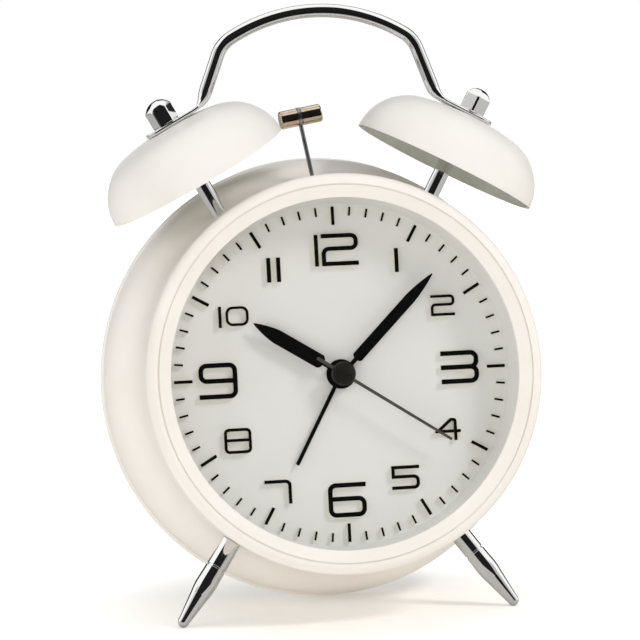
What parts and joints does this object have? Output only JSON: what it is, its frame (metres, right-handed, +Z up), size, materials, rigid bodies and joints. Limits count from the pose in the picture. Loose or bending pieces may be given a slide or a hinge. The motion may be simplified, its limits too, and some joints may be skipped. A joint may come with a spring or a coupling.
{
  "type": "twin-bell alarm clock",
  "caption": "White twin-bell quartz alarm clock with a round raised-numeral dial, black hands, chrome arched handle, bell posts and splayed tapered feet, and a swinging hammer.",
  "frame": {"origin": "The middle of the overall box in X and Y, on the floor that the feet and the rear rim rest on.", "axes": "+X to the right as seen from the front, +Y from the dial to the rear cover, +Z up."},
  "size_m": [0.1208, 0.062, 0.1619],
  "materials": {
    "white_paint": "satin white baked enamel on the drum, bezel and bells",
    "chrome": "bright plated handle, posts, feet and dome nuts",
    "dial_white": "matte off-white dial and surround",
    "black_ink": "satin black paint on hands, numeral faces and markers",
    "window_glass": "clear flat window",
    "hammer_metal": "dull nickel with a warm cast",
    "steel": "plain zinc-plated steel",
    "case_plastic": "moulded off-white plastic of the rear cover, door and knobs",
    "gear_plastic": "natural acetal",
    "dark_plastic": "black moulded plastic",
    "board_green": "green solder mask",
    "copper": "varnished copper winding",
    "cell_wrap": "printed-free cell sleeve",
    "lamp_clear": "clear epoxy lamp",
    "white_print": "matte white raised marker bodies"
  },
  "bodies": {
    "clock": {"backlight_leds": "lamp_clear", "battery_cells": "cell_wrap", "battery_springs": "steel", "battery_tabs": "steel", "bezel_ring": "white_paint", "bracket_screws": "steel", "bracket_spacers": "steel", "carry_handle": "chrome", "case_shell": "white_paint", "cover_lugs": "white_paint", "dial_lens": "window_glass", "dial_plate": "dial_white", "dial_retaining_ring": "steel", "dial_surround": "dial_white", "foot_lock_nuts": "steel", "hammer_pivot_pin": "steel", "hour_numerals": "white_print", "left_bell": "white_paint", "left_bell_post": "chrome", "left_dome_nut": "chrome", "left_foot": "chrome", "marker_faces": "black_ink", "minute_markers": "white_print", "movement_back_case": "dark_plastic", "movement_circuit": "board_green", "movement_front_case": "dark_plastic", "movement_screws": "steel", "numeral_faces": "black_ink", "post_lock_nuts": "steel", "rear_cover": "case_plastic", "rear_cover_screws": "steel", "right_bell": "white_paint", "right_bell_post": "chrome", "right_dome_nut": "chrome", "right_foot": "chrome", "stepper_coil": "copper", "striker_bracket": "steel", "striker_motor": "steel", "switch_boards": "board_green"},
    "seconds": {"second_arbor": "gear_plastic", "second_hand": "black_ink", "centre_cap": "black_ink"},
    "minutes": {"minute_arbor": "gear_plastic", "minute_hand": "black_ink"},
    "motion": {"motion_wheel": "gear_plastic"},
    "hours": {"hour_wheel": "gear_plastic", "hour_hand": "black_ink"},
    "alarm": {"alarm_wheel": "gear_plastic", "alarm_hand": "black_ink"},
    "time_knob": {"time_set_knob": "case_plastic"},
    "alarm_knob": {"alarm_set_knob": "case_plastic"},
    "hammer": {"hammer_head": "hammer_metal", "hammer_arm": "hammer_metal", "hammer_rocker": "gear_plastic"},
    "cam": {"motor_cam": "gear_plastic", "motor_shaft": "steel"},
    "door": {"battery_door": "case_plastic"},
    "light": {"light_button": "case_plastic"},
    "switch": {"alarm_switch": "dark_plastic"}
  },
  "joints": [
    {"name": "minute_turn", "type": "hinge", "parent": "clock", "child": "minutes", "pos_m": [0, -0.02367, 0.06555], "axis": [0, 0.9927, -0.1203], "continuous": true},
    {"name": "motion_turn", "type": "hinge", "parent": "clock", "child": "motion", "pos_m": [0.00619, -0.00555, 0.07372], "axis": [0, 0.9927, -0.1203], "continuous": true},
    {"name": "hour_turn", "type": "hinge", "parent": "clock", "child": "hours", "pos_m": [0, -0.02367, 0.06555], "axis": [0, 0.9927, -0.1203], "continuous": true},
    {"name": "time_knob_turn", "type": "hinge", "parent": "clock", "child": "time_knob", "pos_m": [0.0198, 0.02086, 0.06721], "axis": [0, 0.9927, -0.1203], "continuous": true},
    {"name": "second_turn", "type": "hinge", "parent": "clock", "child": "seconds", "pos_m": [0, -0.02367, 0.06555], "axis": [0, 0.9927, -0.1203], "continuous": true},
    {"name": "alarm_turn", "type": "hinge", "parent": "clock", "child": "alarm", "pos_m": [0, -0.02367, 0.06555], "axis": [0, 0.9927, -0.1203], "continuous": true},
    {"name": "alarm_knob_turn", "type": "hinge", "parent": "clock", "child": "alarm_knob", "pos_m": [-0.0198, 0.02086, 0.06721], "axis": [0, 0.9927, -0.1203], "continuous": true},
    {"name": "hammer_swing", "type": "hinge", "parent": "clock", "child": "hammer", "pos_m": [0, 0.00207, 0.0992], "axis": [0, 0.9927, -0.1203], "range_deg": [0, 18]},
    {"name": "cam_turn", "type": "hinge", "parent": "clock", "child": "cam", "pos_m": [-0.00419, 0.00106, 0.09088], "axis": [0, 0.9927, -0.1203], "continuous": true},
    {"name": "switch_slide", "type": "slide", "parent": "clock", "child": "switch", "axis": [1, 0, 0], "range_m": [0, 0.0036]},
    {"name": "light_press", "type": "slide", "parent": "clock", "child": "light", "axis": [0, -0.9927, 0.1203], "range_m": [0, 0.0009], "stiffness_N_per_m": 700, "springref_m": -0.0004},
    {"name": "door_slide", "type": "slide", "parent": "clock", "child": "door", "axis": [0, 0.9927, -0.1203], "range_m": [0, 0.02]}
  ],
  "couplings": [
    {"joint": "motion_turn", "follows": "minute_turn", "ratio": -0.33333},
    {"joint": "hour_turn", "follows": "minute_turn", "ratio": 0.083333},
    {"joint": "time_knob_turn", "follows": "minute_turn", "ratio": 0.6},
    {"joint": "alarm_knob_turn", "follows": "alarm_turn", "ratio": -2.5}
  ]
}
